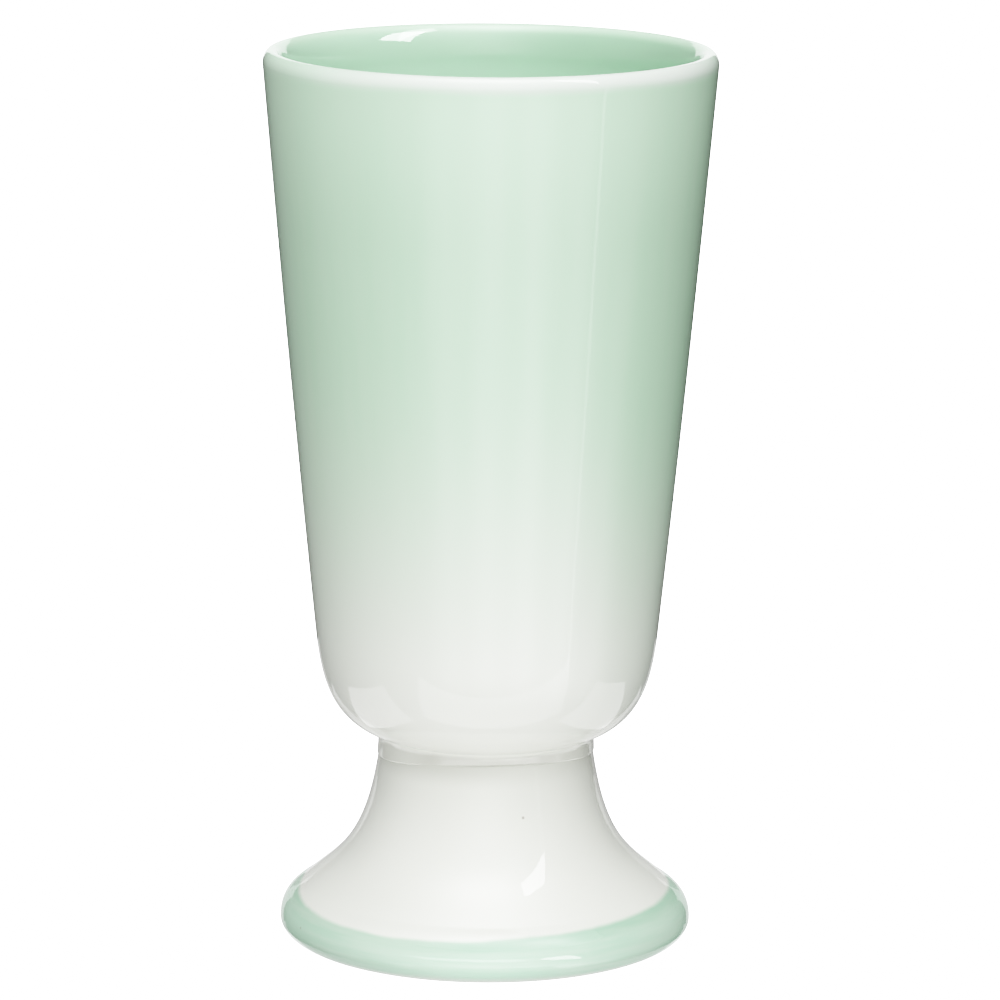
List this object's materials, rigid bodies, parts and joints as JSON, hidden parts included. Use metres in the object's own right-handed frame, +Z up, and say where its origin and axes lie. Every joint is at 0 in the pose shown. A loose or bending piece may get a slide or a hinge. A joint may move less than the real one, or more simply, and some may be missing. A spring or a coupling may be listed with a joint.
{
  "type": "mazagran cup",
  "caption": "Tall footed coffee cup without a handle: a tapered glazed porcelain bowl with a round lip, stuck onto a hollow trumpet foot.",
  "frame": {"origin": "centre of the ring that the foot stands on, at the height of the surface under it", "axes": "+Z up along the axis that the cup is turned about; X and Y are alike because the cup is round"},
  "size_m": [0.07, 0.07, 0.14],
  "materials": {
    "mint_glazed_porcelain": "gloss mint glaze that fades to white towards the bottom",
    "white_glazed_porcelain": "gloss clear glaze over white porcelain, with a mint band on the rim",
    "fired_slip": "fired porcelain slip under clear glaze"
  },
  "bodies": {
    "root": {"bowl": "mint_glazed_porcelain", "foot": "white_glazed_porcelain", "luting_slip": "fired_slip"}
  },
  "joints": []
}
